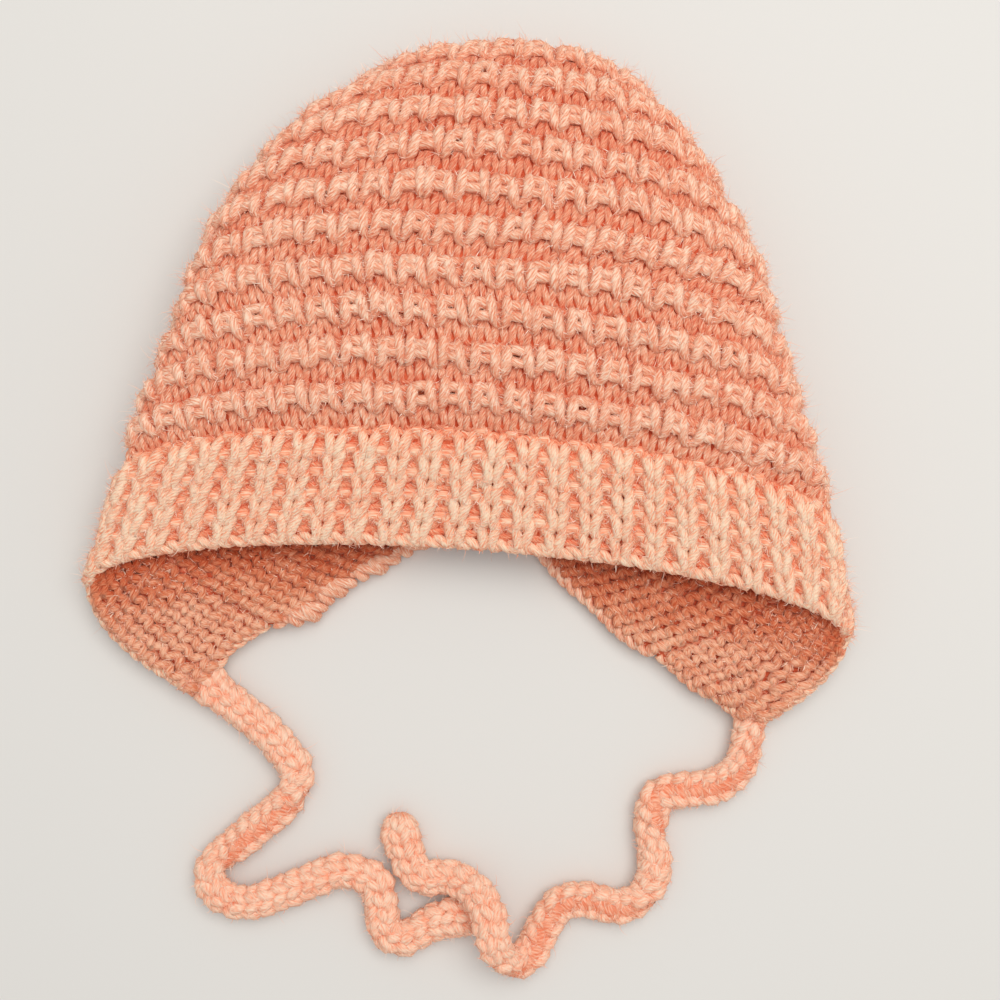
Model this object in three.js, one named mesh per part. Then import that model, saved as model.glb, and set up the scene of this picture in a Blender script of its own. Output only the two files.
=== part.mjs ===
// A knitted baby bonnet, lying flat on its lower layer with its two ties laid in front of it.
// Sizes are in millimetres, +Z is up and Z = 0 is the surface that it lies on.
// The bonnet's own axis runs along +Y, from the face opening to the crown.
//
// The fabric is worked from the face edge to the crown, so every place on it has a wale distance
// (how far it was knitted from the cast-on edge) and an angle round its ring: 0 in the middle of
// the upper layer, 90 at a side fold, 180 in the middle of the lower layer.

import * as THREE from "three";

// Driving dimensions
const FOOTPRINT_CENTRE_Y = 70;
const BAND_DEPTH = 33;
const BAND_OUTER = 2.3;
const BAND_INNER = 2.1;
const RIB_RELIEF = 0.6;
const RIB_PAIRS = 36;
const FAN_START = 60;
const CROWN_OUTER = 2.5;
const CROWN_INNER = 2.2;
const RIDGE_START = 34.5;
const RIDGE_PITCH = 12;
const RIDGE_RELIEF = 1.3;
const RIDGE_FADE_START = 190;
const CROWN_CENTRE = 210;
const NECK_CLOSE = 97;
const SEAM_GAP = 0.5;
const SEAM_GAP_AT_FOLD = 3.8;
const FOLD_FULLNESS = 0.55;
const TIE_WIDTH = 11.6;
const TIE_HEIGHT = 8.4;
const TIE_SIDES = 10;
const TIE_STEP = 4.6;

// Sampling of the solids
const QUARTER_COLUMNS = 10;
const COLUMN_CROWDING = 1.5;
const COLUMNS_PER_RIB_PAIR = 4;
const ARC_SAMPLES = 240;

// Each row is one ring of the knitting, by its wale distance: the top line of the upper layer,
// the side folds and the middle line of the lower layer, each with its place along Y and its
// height. MidX is where the ring's middle lies, and skew is how far its right fold lies ahead of
// the middle, and its left one behind it.
const RING_COLUMNS = ["wale", "topY", "topZ", "foldY", "foldX", "lowY", "lowZ", "midX", "skew"];
const RINGS = [
  [0, 20, 16, 1, 110.8, -42, 4.0, 0.3, 0],
  [15, 35, 21, 16, 106.6, -30, 3.4, 0.9, 0],
  [31, 50, 25.5, 31, 102, -19, 3.4, 1, 0],
  [55, 74, 29, 55, 93.5, -1, 3.4, -0.5, 0],
  [79, 97.5, 30.5, 78.5, 85, 19, 3.4, -1.3, 0],
  [97, 115, 30, 96, 79, 33, 3.4, -1.6, 0],
  [115, 132, 27.5, 113, 71, 46, 3.4, -2, 0.5],
  [133, 148.5, 23, 128.5, 60, 58, 3.4, -2, 1.5],
  [147, 160, 17.5, 138.5, 48.5, 67, 3.4, -0.8, 2.5],
  [157, 165, 12, 143, 39, 75, 3.4, 0, 2.6],
  [167, 161, 6, 140, 32, 83, 3.4, 0, 1.8],
  [182, 148, 3.4, 131, 22, 94, 3.4, 0, 0.8],
  [200, 129, 3.4, 121.5, 9, 108, 3.4, 0, 0],
  [210, 118.5, 3.4, 118.5, 0, 118.5, 3.4, 0, 0],
];

// Where the neck edge ends each ring, as an angle from the top line, on the left and right side.
const NECK_COLUMNS = ["wale", "left", "right"];
const NECK_EDGE = [
  [0, 132, 120.2],
  [15, 137.7, 139],
  [31, 143.6, 145.4],
  [43, 150.3, 151.6],
  [55, 154.5, 155.8],
  [67, 161.7, 161.4],
  [79, 169.7, 166.4],
  [91, 176, 174.5],
  [97, 180, 180],
];

// The middle line of each tie, from the flap's corner to its free tip.
const LEFT_TIE_ROUTE = [
  [-77.0, -24.5, 4.3],
  [-72.4, -28.9, 4.3],
  [-64.3, -34.2, 4.3],
  [-57.1, -39.4, 4.3],
  [-51.3, -45.0, 4.3],
  [-46.6, -51.0, 4.3],
  [-47.2, -57.4, 4.3],
  [-51.8, -63.0, 4.3],
  [-58.1, -68.9, 4.3],
  [-64.8, -75.2, 4.3],
  [-69.9, -81.7, 4.3],
  [-68.0, -88.3, 4.3],
  [-60.2, -90.9, 4.3],
  [-50.2, -87.8, 4.3],
  [-40.0, -82.9, 4.3],
  [-30.2, -79.3, 4.3],
  [-21.8, -81.8, 4.3],
  [-18.9, -88.8, 4.3],
  [-17.4, -96.0, 4.3],
  [-11.4, -98.2, 4.3],
  [-3.9, -93.2, 4.3],
  [3.2, -90.8, 4.3],
  [10.4, -92.8, 4.3],
];
const RIGHT_TIE_ROUTE = [
  [87.6, -21.2, 4.3],
  [87.0, -27.0, 4.3],
  [86.1, -33.4, 4.3],
  [84.2, -40.4, 4.3],
  [78.2, -45.9, 4.3],
  [68.9, -48.3, 4.3],
  [60.9, -50.6, 4.3],
  [59.0, -57.6, 4.3],
  [60.6, -65.8, 4.3],
  [61.0, -73.8, 4.3],
  [57.8, -81.4, 4.3],
  [50.7, -84.4, 4.3],
  [41.9, -82.8, 4.3],
  [33.6, -85.0, 4.3],
  [29.5, -91.4, 4.3],
  [27.0, -98.0, 4.9],
  [22.2, -102.6, 7.0],
  [17.0, -99.8, 10.4],
  [14.3, -93.2, 13.1],
  [12.4, -86.4, 12.4],
  [7.4, -80.9, 8.4],
  [0.2, -78.9, 4.9],
  [-6.0, -79.8, 4.3],
  [-10.4, -77.6, 4.3],
  [-13.4, -71.4, 4.3],
  [-15.6, -65.2, 4.3],
  [-16.9, -60.6, 4.3],
];

const radians = THREE.MathUtils.degToRad;

// Slopes that keep a smooth curve through the rows from overshooting them.
function rowSlopes(inputs, outputs) {
  const chords = inputs.slice(1).map((x, i) => (outputs[i + 1] - outputs[i]) / (x - inputs[i]));
  return inputs.map((_, i) => {
    const before = chords[Math.max(i - 1, 0)];
    const after = chords[Math.min(i, chords.length - 1)];
    return before * after <= 0 ? 0 : (2 * before * after) / (before + after);
  });
}

// A smooth function of the wale distance through one named column of a table.
function columnCurve(columns, rows, name) {
  const column = columns.indexOf(name);
  const inputs = rows.map((row) => row[0]);
  const outputs = rows.map((row) => row[column]);
  const slopes = rowSlopes(inputs, outputs);
  return (wale) => {
    const last = inputs.length - 2;
    const index = Math.min(Math.max(inputs.findIndex((x) => x > wale) - 1, 0), last);
    const found = wale >= inputs[last + 1] ? last : index;
    const width = inputs[found + 1] - inputs[found];
    const t = THREE.MathUtils.clamp((wale - inputs[found]) / width, 0, 1);
    const rise = t * t * (3 - 2 * t);
    const lead = t * (1 - t) * (1 - t) * slopes[found];
    const tail = t * t * (t - 1) * slopes[found + 1];
    return outputs[found] * (1 - rise) + outputs[found + 1] * rise + width * (lead + tail);
  };
}

const ring = Object.fromEntries(
  RING_COLUMNS.slice(1).map((name) => [name, columnCurve(RING_COLUMNS, RINGS, name)])
);
const neck = Object.fromEntries(
  NECK_COLUMNS.slice(1).map((name) => [name, columnCurve(NECK_COLUMNS, NECK_EDGE, name)])
);

// The middle of the fabric's thickness at a wale distance and an angle.
function middle(wale, angle) {
  const across = Math.sin(radians(angle));
  const over = Math.cos(radians(angle));
  const foldY = ring.foldY(wale);
  const reach = over > 0 ? ring.topY(wale) - foldY : foldY - ring.lowY(wale);
  const halfHeight = (ring.topZ(wale) - ring.lowZ(wale)) / 2;
  const lift = Math.sign(over) * Math.pow(Math.abs(over), FOLD_FULLNESS);
  return new THREE.Vector3(
    ring.midX(wale) + ring.foldX(wale) * across,
    foldY + reach * over + ring.skew(wale) * across,
    ring.lowZ(wale) + halfHeight * (1 + lift)
  );
}

const OUTWARD_STEP = 0.5;

// The direction out of the bonnet at a wale distance and an angle.
function outward(wale, angle) {
  const round = middle(wale, angle + OUTWARD_STEP).sub(middle(wale, angle - OUTWARD_STEP));
  const nearer = Math.max(wale - OUTWARD_STEP, 0);
  const further = Math.min(wale + OUTWARD_STEP, CROWN_CENTRE);
  const up = middle(further, angle).sub(middle(nearer, angle));
  const direction = round.cross(up);
  return direction.length() < 1e-6 ? new THREE.Vector3(0, 0, -1) : direction.normalize();
}

// A point of the fabric off its middle, never under the surface that it lies on.
function fabricPoint(wale, angle, offset) {
  const point = middle(wale, angle).addScaledVector(outward(wale, angle), offset);
  point.z = Math.max(point.z, 0);
  return point;
}

// The neck edge's angle on the side that a signed place from -1 to 1 lies on.
function neckAngle(wale, place) {
  if (wale >= NECK_CLOSE) return 180;
  return place < 0 ? neck.left(wale) : neck.right(wale);
}

// Crown columns crowd towards the side folds, where the fabric turns.
function crownAngle(wale, place) {
  const end = neckAngle(wale, place);
  const amount = Math.abs(place) * 2;
  const upper = 90 * (1 - Math.pow(Math.max(1 - amount, 0), COLUMN_CROWDING));
  const lower = (end - 90) * Math.pow(Math.max(amount - 1, 0), COLUMN_CROWDING);
  return Math.sign(place) * (upper + lower);
}

// The band's columns are evenly spaced along its middle ring, as its ribs are. On the other rings
// they keep their angle over the upper layer and fan out or close up round the flaps.
const BAND_COLUMNS = RIB_PAIRS * COLUMNS_PER_RIB_PAIR;

function evenAngles(wale, count) {
  const from = -neck.left(wale);
  const to = neck.right(wale);
  const angles = Array.from({ length: ARC_SAMPLES + 1 }, (_, i) => from + ((to - from) * i) / ARC_SAMPLES);
  const lengths = [0];
  for (let i = 1; i <= ARC_SAMPLES; i++) {
    lengths.push(lengths[i - 1] + middle(wale, angles[i]).distanceTo(middle(wale, angles[i - 1])));
  }
  const total = lengths[ARC_SAMPLES];
  return Array.from({ length: count + 1 }, (_, i) => {
    const goal = (total * i) / count;
    const next = Math.max(lengths.findIndex((length) => length >= goal - 1e-9), 1);
    const part = (goal - lengths[next - 1]) / (lengths[next] - lengths[next - 1]);
    return angles[next - 1] + part * (angles[next] - angles[next - 1]);
  });
}

function bandAngles(wale) {
  return evenAngles(BAND_DEPTH / 2, BAND_COLUMNS).map((angle) => {
    const side = angle < 0 ? neck.left : neck.right;
    const stretch = (side(wale) - FAN_START) / (side(BAND_DEPTH / 2) - FAN_START);
    const beyond = Math.max(Math.abs(angle) - FAN_START, 0);
    return Math.sign(angle) * (Math.min(Math.abs(angle), FAN_START) + beyond * stretch);
  });
}

// A closed wall between an outer and an inner grid of points. Rows run from the face edge to the
// crown. Closed rings join their first and last column, and a tip row is a single point.
function wallGeometry(grid, { closedFrom = Infinity, tip = false }) {
  const lastRow = grid.outer.length - 1;
  const lastColumn = grid.outer[0].length - 1;
  const at = (face, row, column) => {
    const shared = (tip && row === lastRow) || (row >= closedFrom && column === lastColumn);
    return grid[face][row][shared ? 0 : column];
  };
  const positions = [];
  const triangle = (a, b, c) => {
    if (a !== b && b !== c && c !== a) positions.push(...a.toArray(), ...b.toArray(), ...c.toArray());
  };
  const quad = (a, b, c, d) => {
    triangle(a, b, c);
    triangle(a, c, d);
  };
  const edge = (rowA, columnA, rowB, columnB) =>
    quad(
      at("outer", rowA, columnA),
      at("outer", rowB, columnB),
      at("inner", rowB, columnB),
      at("inner", rowA, columnA)
    );
  for (let row = 0; row < lastRow; row++) {
    for (let column = 0; column < lastColumn; column++) {
      const corners = [
        [row, column],
        [row, column + 1],
        [row + 1, column + 1],
        [row + 1, column],
      ];
      quad(...corners.map(([r, c]) => at("outer", r, c)));
      quad(...corners.reverse().map(([r, c]) => at("inner", r, c)));
    }
    if (row < closedFrom) {
      edge(row, 0, row + 1, 0);
      edge(row + 1, lastColumn, row, lastColumn);
    }
  }
  for (let column = 0; column < lastColumn; column++) {
    edge(0, column + 1, 0, column);
    if (!tip) edge(lastRow, column, lastRow, column + 1);
  }
  const geometry = new THREE.BufferGeometry();
  geometry.setAttribute("position", new THREE.Float32BufferAttribute(positions, 3));
  geometry.computeVertexNormals();
  return geometry;
}

// Rows across one ridge: its valley, its shoulder and its crest, which leans to the crown.
const RIDGE_ROWS = [
  { part: 0, height: -1 },
  { part: 0.42, height: 0.75 },
  { part: 0.74, height: 1 },
];

// The crown starts in the valley next to the band. The rings run slantwise across the side
// folds, so the seam's gap is measured wider along the wales there.
function seamWale(angle) {
  const nearFold = Math.pow(Math.sin(radians(angle)), 4);
  return BAND_DEPTH + SEAM_GAP + (SEAM_GAP_AT_FOLD - SEAM_GAP) * nearFold;
}

function crownRows() {
  const rows = [];
  for (let start = RIDGE_START; start < CROWN_CENTRE; start += RIDGE_PITCH) {
    for (const { part, height } of RIDGE_ROWS) {
      const wale = start + part * RIDGE_PITCH;
      const fade = 1 - THREE.MathUtils.smoothstep(wale, RIDGE_FADE_START, CROWN_CENTRE);
      if (wale < CROWN_CENTRE - RIDGE_PITCH / 4) rows.push({ wale, height: height * fade });
    }
  }
  rows.push({ wale: CROWN_CENTRE, height: 0 });
  return rows;
}

// The crown is one hollow wall, ridged all over, closed at its gathered centre and open at the
// face side, with the neck opening cut into its lower layer.
function crownGeometry() {
  const rows = crownRows();
  const steps = QUARTER_COLUMNS * 4;
  const places = Array.from({ length: steps + 1 }, (_, i) => (2 * i) / steps - 1);
  const grid = (offsetOf) =>
    rows.map(({ wale, height }, row) =>
      places.map((place) => {
        const angle = crownAngle(wale, place);
        return fabricPoint(row === 0 ? seamWale(angle) : wale, angle, offsetOf(height));
      })
    );
  return wallGeometry(
    {
      outer: grid((height) => CROWN_OUTER + RIDGE_RELIEF * height),
      inner: grid(() => -CROWN_INNER),
    },
    { closedFrom: rows.findIndex(({ wale }) => wale >= NECK_CLOSE), tip: true }
  );
}

// Rows along the band's depth. The ribs flatten out where the crown is knitted on.
const BAND_ROWS = [
  { part: 0, relief: 1 },
  { part: 0.33, relief: 1 },
  { part: 0.67, relief: 1 },
  { part: 1, relief: 0.2 },
];

// The face band is knitted in one-by-one rib: what stands out on one face is sunk on the other.
function bandGeometry() {
  const side = (column) => (column % COLUMNS_PER_RIB_PAIR < COLUMNS_PER_RIB_PAIR / 2 ? 1 : -1);
  const grid = (offset) =>
    BAND_ROWS.map(({ part, relief }) => {
      const wale = BAND_DEPTH * part;
      return bandAngles(wale).map((angle, column) =>
        fabricPoint(wale, angle, offset + RIB_RELIEF * relief * side(column))
      );
    });
  return wallGeometry({ outer: grid(BAND_OUTER), inner: grid(-BAND_INNER) }, {});
}

const UP = new THREE.Vector3(0, 0, 1);

// A tie's middle line, whose section keeps its flat way level all along it.
class LevelLine extends THREE.CatmullRomCurve3 {
  computeFrenetFrames(segments) {
    const tangents = Array.from({ length: segments + 1 }, (_, i) => this.getTangentAt(i / segments));
    const normals = tangents.map((tangent) =>
      UP.clone().addScaledVector(tangent, -tangent.dot(UP)).normalize()
    );
    const binormals = tangents.map((tangent, i) => tangent.clone().cross(normals[i]));
    return { tangents, normals, binormals };
  }
}

// A tie is a knitted cord, a little flattened where it lies.
function tieGeometry(route) {
  const line = new LevelLine(route.map((point) => new THREE.Vector3(...point)));
  const section = new THREE.Shape(
    Array.from({ length: TIE_SIDES }, (_, i) => {
      const turn = (2 * Math.PI * (i + 0.5)) / TIE_SIDES;
      return new THREE.Vector2((TIE_HEIGHT / 2) * Math.cos(turn), (TIE_WIDTH / 2) * Math.sin(turn));
    })
  );
  return new THREE.ExtrudeGeometry(section, {
    steps: Math.round(line.getLength() / TIE_STEP),
    bevelEnabled: false,
    extrudePath: line,
  });
}

const YARN = { color: 0xeeb08e, roughness: 0.95, metalness: 0 };

function knitted(name, geometry) {
  const mesh = new THREE.Mesh(geometry, new THREE.MeshStandardMaterial(YARN));
  mesh.name = name;
  return mesh;
}

const bonnet = new THREE.Group();
bonnet.position.y = -FOOTPRINT_CENTRE_Y;
bonnet.add(
  knitted("crown", crownGeometry()),
  knitted("face_band", bandGeometry()),
  knitted("left_tie", tieGeometry(LEFT_TIE_ROUTE)),
  knitted("right_tie", tieGeometry(RIGHT_TIE_ROUTE))
);

export default bonnet;
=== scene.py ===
import math

import bmesh
import bpy
import numpy as np
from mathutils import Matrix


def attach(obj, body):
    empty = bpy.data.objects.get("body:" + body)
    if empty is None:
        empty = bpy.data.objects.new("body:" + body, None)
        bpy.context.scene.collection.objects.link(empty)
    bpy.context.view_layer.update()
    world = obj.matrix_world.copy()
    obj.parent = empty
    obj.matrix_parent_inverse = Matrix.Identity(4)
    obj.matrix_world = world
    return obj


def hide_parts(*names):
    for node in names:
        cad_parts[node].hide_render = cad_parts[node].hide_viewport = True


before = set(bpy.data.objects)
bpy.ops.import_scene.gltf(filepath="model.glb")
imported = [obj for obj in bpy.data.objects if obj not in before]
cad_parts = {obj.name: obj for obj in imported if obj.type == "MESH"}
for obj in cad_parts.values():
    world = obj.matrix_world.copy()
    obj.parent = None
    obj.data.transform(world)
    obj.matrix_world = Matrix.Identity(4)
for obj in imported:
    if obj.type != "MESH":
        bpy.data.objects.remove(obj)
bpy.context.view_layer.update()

# The camera looks straight down on the bonnet, as it lies on the table, turned a few degrees to
# the bonnet's own axis. The picture is a square, 300 mm wide at the table.
CAMERA_PLACE = (0.0075, -0.0364, 0.417)
CAMERA_TURN_DEG = 4.1
CAMERA_LENS_MM = 50.04
camera_data = bpy.data.cameras.new("view_from_above")
camera_data.lens = CAMERA_LENS_MM
camera_data.sensor_width = 36
camera_data.clip_start = 0.01
camera = bpy.data.objects.new("view_from_above", camera_data)
camera.location = CAMERA_PLACE
camera.rotation_euler = (0, 0, math.radians(CAMERA_TURN_DEG))
bpy.context.scene.collection.objects.link(camera)
bpy.context.scene.camera = camera
bpy.context.scene.view_settings.view_transform = "Standard"

# The ties are two knitted cords of three stitches in soft plied baby yarn. Each hangs on the lower
# corner of a flap, and lies loose on the table with a free, rounded tip. Sizes here are in mm.
MM = 0.001
TIE_HALF_WIDTH = 5.8
TIE_HALF_HEIGHT = 4.2
TIE_CORE_HALF_WIDTH = 3.6
TIE_CORE_HALF_HEIGHT = 2.3
TIE_CORE_SIDES = 12
TIE_YARN_RADIUS = 1.85
TIE_ROW_PITCH = 4.4
TIE_COLUMNS = 4
TIE_POINTS_PER_COLUMN = 10
TIE_LOOP = {"reach": 5.4, "pinch": 0.24, "depth": 0.9}
TIE_FLOAT = {"reach": 0.25, "sunk": 1.6}
TIE_UNEVEN = {"along": 0.35, "round": 0.04, "off": 0.15}
TIP_INSET = 1.5
LAST_STITCH_INSET = 2.4
TIP_ROUNDING = 5.0
TIP_SWELL = {"share": 0.2, "inset": 8.0, "reach": 6.0}
ROOT_OVERLAP = 7.0
ROOT_LENGTH = 20.0
ROOT_WIDTH = 18.5
ROOT_FLATTENING = 0.42
LOW_SIDES = 5
MAP_ROUND = 7.2
MAP_SHIFT = 7.3
TIE_NAP = 5500
TIE_HAIRS = 2400
LEFT_TIE_ROUTE = [
    (-77.0, -24.5, 4.3), (-72.4, -28.9, 4.3), (-64.3, -34.2, 4.3), (-57.1, -39.4, 4.3),
    (-51.3, -45.0, 4.3), (-46.6, -51.0, 4.3), (-47.2, -57.4, 4.3), (-51.8, -63.0, 4.3),
    (-58.1, -68.9, 4.3), (-64.8, -75.2, 4.3), (-69.9, -81.7, 4.3), (-68.0, -88.3, 4.3),
    (-60.2, -90.9, 4.3), (-50.2, -87.8, 4.3), (-40.0, -82.9, 4.3), (-30.2, -79.3, 4.3),
    (-21.8, -81.8, 4.3), (-18.9, -88.8, 4.3), (-17.4, -96.0, 4.3), (-11.4, -98.2, 4.3),
    (-3.9, -93.2, 4.3), (3.2, -90.8, 4.3), (10.4, -92.8, 4.3),
]
RIGHT_TIE_ROUTE = [
    (87.6, -21.2, 4.3), (87.0, -27.0, 4.3), (86.1, -33.4, 4.3), (84.2, -40.4, 4.3),
    (78.2, -45.9, 4.3), (68.9, -48.3, 4.3), (60.9, -50.6, 4.3), (59.0, -57.6, 4.3),
    (60.6, -65.8, 4.3), (61.0, -73.8, 4.3), (57.8, -81.4, 4.3), (50.7, -84.4, 4.3),
    (41.9, -82.8, 4.3), (33.6, -85.0, 4.3), (29.5, -91.4, 4.3), (27.0, -98.0, 4.9),
    (22.2, -102.6, 7.0), (17.0, -99.8, 10.4), (14.3, -93.2, 13.1), (12.4, -86.4, 12.4),
    (7.4, -80.9, 8.4), (0.2, -78.9, 4.9), (-6.0, -79.8, 4.3), (-10.4, -77.6, 4.3),
    (-13.4, -71.4, 4.3), (-15.6, -65.2, 4.3), (-16.9, -60.6, 4.3),
]
FOOTPRINT_CENTRE_Y = 70


def linear(red, green, blue):
    """A colour as the shader takes it, from one given in 0 to 255."""
    parts = [part / 255 for part in (red, green, blue)]
    lit = [part / 12.92 if part < 0.04 else ((part + 0.055) / 1.055) ** 2.4 for part in parts]
    return (*lit, 1.0)


def unit(vectors):
    """The vectors' directions alone."""
    return vectors / np.maximum(np.linalg.norm(vectors, axis=-1, keepdims=True), 1e-9)


def new_finish(name, roughness, specular):
    """A material with one plain shader."""
    material = bpy.data.materials.new(name)
    material.use_nodes = True
    shader = material.node_tree.nodes["Principled BSDF"]
    shader.inputs["Roughness"].default_value = roughness
    shader.inputs["Specular IOR Level"].default_value = specular
    return material


def noise(material, places, scale, detail):
    """Soft random patches over the places."""
    pattern = material.node_tree.nodes.new("ShaderNodeTexNoise")
    pattern.inputs["Scale"].default_value = scale
    pattern.inputs["Detail"].default_value = detail
    material.node_tree.links.new(places, pattern.inputs["Vector"])
    return pattern.outputs["Fac"]


def weighted(material, value, weight, rest):
    """A value times its weight plus the rest, which is a number or another value."""
    share = material.node_tree.nodes.new("ShaderNodeMath")
    share.operation = "MULTIPLY_ADD"
    share.inputs[1].default_value = weight
    material.node_tree.links.new(value, share.inputs[0])
    if isinstance(rest, float):
        share.inputs[2].default_value = rest
    else:
        material.node_tree.links.new(rest, share.inputs[2])
    return share.outputs[0]


def tinted(material, value, first, last, *between):
    """Colours the material by a value: every stop is a value and the colour there."""
    nodes = material.node_tree.nodes
    tint = nodes.new("ShaderNodeValToRGB")
    for element, stop in zip(tint.color_ramp.elements, (first, last)):
        element.position, element.color = stop
    for place, colour in between:
        tint.color_ramp.elements.new(place).color = colour
    links = material.node_tree.links
    links.new(value, tint.inputs["Fac"])
    links.new(tint.outputs["Color"], nodes["Principled BSDF"].inputs["Base Color"])


def raised(material, height, strength, distance):
    """Lets a height bend the light on the material."""
    nodes = material.node_tree.nodes
    bump = nodes.new("ShaderNodeBump")
    bump.inputs["Strength"].default_value = strength
    bump.inputs["Distance"].default_value = distance
    links = material.node_tree.links
    links.new(height, bump.inputs["Height"])
    links.new(bump.outputs["Normal"], nodes["Principled BSDF"].inputs["Normal"])


def yarn_finish(name, pale, proud, sunk, bump=0.3):
    """Soft plied yarn: three plies wound round each other, loose fibres, uneven colour and painted
    shade.
    """
    material = new_finish(name, 0.85, 0.2)
    nodes = material.node_tree.nodes
    links = material.node_tree.links
    shader = nodes["Principled BSDF"]
    shader.inputs["Sheen Weight"].default_value = 0.25
    shader.inputs["Sheen Roughness"].default_value = 0.5
    shader.inputs["Sheen Tint"].default_value = linear(255, 214, 188)
    shader.inputs["Subsurface Weight"].default_value = 0.12
    shader.inputs["Subsurface Radius"].default_value = (0.0014, 0.0009, 0.0007)
    shader.inputs["Subsurface Scale"].default_value = 1.0

    own_map = nodes.new("ShaderNodeUVMap")
    own_map.uv_map = "yarn"
    ply_turn = nodes.new("ShaderNodeMapping")
    ply_turn.inputs["Rotation"].default_value = (0, 0, 0.72)
    ply = nodes.new("ShaderNodeTexWave")
    ply.inputs["Scale"].default_value = 0.42
    ply.inputs["Distortion"].default_value = 4.0
    ply.inputs["Detail"].default_value = 2
    ply.inputs["Detail Scale"].default_value = 1.4
    links.new(own_map.outputs["UV"], ply_turn.inputs["Vector"])
    links.new(ply_turn.outputs["Vector"], ply.inputs["Vector"])

    fibre_turn = nodes.new("ShaderNodeMapping")
    fibre_turn.vector_type = "TEXTURE"
    fibre_turn.inputs["Rotation"].default_value = (0, 0, 0.45)
    fibre_turn.inputs["Scale"].default_value = (4.4, 0.7, 1)
    links.new(own_map.outputs["UV"], fibre_turn.inputs["Vector"])
    fibres = noise(material, fibre_turn.outputs["Vector"], 2.2, 3)
    place = nodes.new("ShaderNodeTexCoord")
    patches = noise(material, place.outputs["Object"], 160, 2)
    stands = nodes.new("ShaderNodeAttribute")
    stands.attribute_name = "proud"

    tone = weighted(material, fibres, 1.9, -1.05)
    tone = weighted(material, patches, 0.5, tone)
    tone = weighted(material, ply.outputs["Fac"], 0.12, tone)
    # Painted shade: yarn that lies sunk takes the deep colour, yarn that stands proud the paler ones.
    tone = weighted(material, stands.outputs["Fac"], 0.6, tone)
    tinted(material, tone, (0.08, sunk), (0.92, pale), (0.5, proud))
    raised(material, weighted(material, fibres, 3.2, ply.outputs["Fac"]), bump, 0.0005)
    return material


def yarn_rings(lines, radii, sides):
    """Round sections along each strand: lines is strand, point, xyz and radii strand, point."""
    along = unit(np.gradient(lines, axis=1))
    upright = np.abs(along[:, 0, 2:3]) < 0.9
    start = np.where(upright, [[0.0, 0.0, 1.0]], [[1.0, 0.0, 0.0]])
    normal = unit(np.cross(along[:, 0], start))
    normals = np.empty_like(lines)
    for i in range(lines.shape[1]):
        normal = unit(normal - along[:, i] * (normal * along[:, i]).sum(1, keepdims=True))
        normals[:, i] = normal
    beside = np.cross(along, normals)
    turn = 2 * np.pi * np.arange(sides) / sides
    spokes = (
        np.cos(turn)[:, None] * normals[:, :, None] + np.sin(turn)[:, None] * beside[:, :, None]
    )
    return lines[:, :, None] + radii[:, :, None, None] * spokes, spokes


def yarn_mesh(lines, radii, proud, sides=6):
    """Closed tubes as vertices, outward directions, faces, map points and how proud they stand."""
    strands, points = lines.shape[:2]
    steps = np.linalg.norm(np.diff(lines, axis=1), axis=2)
    run = np.concatenate([np.zeros((strands, 1)), np.cumsum(steps, axis=1)], axis=1) / MM
    run = run + np.arange(strands)[:, None] * MAP_SHIFT
    uneven = 1 + 0.06 * np.sin(1.3 * run) + 0.05 * np.sin(0.53 * run + 1)
    rings, spokes = yarn_rings(lines, radii * uneven, sides)
    index = np.arange(strands * points * sides).reshape(strands, points, sides)
    beyond = np.roll(index, -1, axis=2)
    quads = np.stack([index[:, :-1], beyond[:, :-1], beyond[:, 1:], index[:, 1:]], axis=-1)
    around = np.arange(sides + 1) / sides * MAP_ROUND
    u = np.broadcast_to(run[:, :, None], (strands, points, sides))
    low = np.broadcast_to(around[:-1], (strands, points - 1, sides))
    high = np.broadcast_to(around[1:], (strands, points - 1, sides))
    us = np.stack([u[:, :-1], u[:, :-1], u[:, 1:], u[:, 1:]], axis=-1)
    vs = np.stack([low, high, high, low], axis=-1)
    caps = np.concatenate([index[:, 0, ::-1], index[:, -1]])
    cap_us = np.repeat(np.concatenate([run[:, 0], run[:, -1]])[:, None], sides, axis=1)
    cap_maps = np.stack([cap_us, np.broadcast_to(around[:-1], cap_us.shape)], axis=-1)
    return {
        "verts": rings.reshape(-1, 3),
        "outward": spokes.reshape(-1, 3),
        "faces": [quads.reshape(-1, 4), caps],
        "maps": [np.stack([us, vs], axis=-1).reshape(-1, 2), cap_maps.reshape(-1, 2)],
        "proud": np.repeat(np.broadcast_to(proud, (strands, points)).reshape(-1), sides),
    }


def blended(values, stitch, part):
    """What each stitch has of its own, run smoothly from one stitch to the next."""
    return values[:, stitch] * (1 - part) + values[:, stitch + 1] * part


def single_strand(line, radius, proud):
    """One strand of plain thickness, in five sides because it lies low."""
    stands = np.broadcast_to(proud, len(line))
    return yarn_mesh(line[None], np.full((1, len(line)), radius * MM), stands[None], LOW_SIDES)


def joined(parts):
    """Several yarn meshes as one."""
    whole = {"verts": [], "outward": [], "faces": [], "maps": [], "proud": []}
    count = 0
    for part in parts:
        whole["verts"].append(part["verts"])
        whole["outward"].append(part["outward"])
        whole["proud"].append(part["proud"])
        whole["faces"] += [faces + count for faces in part["faces"]]
        whole["maps"] += part["maps"]
        count += len(part["verts"])
    for name in ("verts", "outward", "proud"):
        whole[name] = np.concatenate(whole[name])
    return whole


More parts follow.
